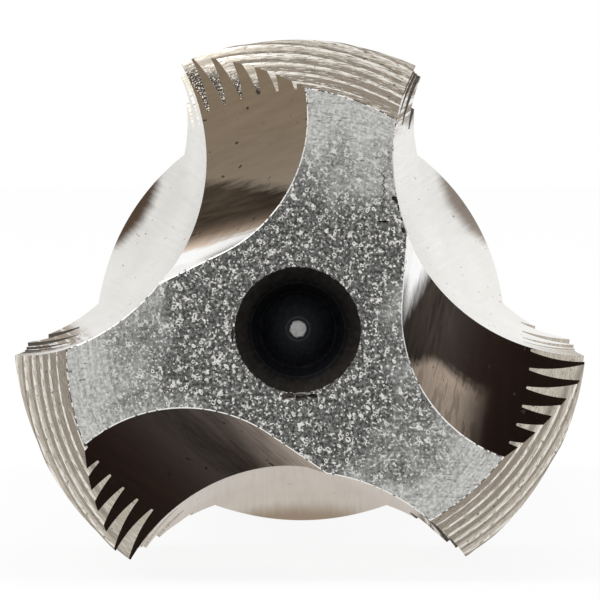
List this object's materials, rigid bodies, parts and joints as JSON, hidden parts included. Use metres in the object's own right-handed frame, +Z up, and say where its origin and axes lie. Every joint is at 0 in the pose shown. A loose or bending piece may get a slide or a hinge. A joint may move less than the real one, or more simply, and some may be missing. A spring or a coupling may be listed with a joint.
{
  "type": "spiral point tap",
  "caption": "Straight-fluted machine tap with an angled chip-driving gash at each cutting edge, a relieved lead, a plain shank and a drive square.",
  "frame": {"origin": "on the table, under the middle of the tap's length", "axes": "+Z up from the table it lies on, +Y along the tap from its cutting point to its drive square"},
  "size_m": [0.012, 0.11, 0.011],
  "materials": {
    "ground_steel": "ground and bright, with a blasted end face"
  },
  "bodies": {
    "root": {"spiral_point_tap": "ground_steel"}
  },
  "joints": []
}
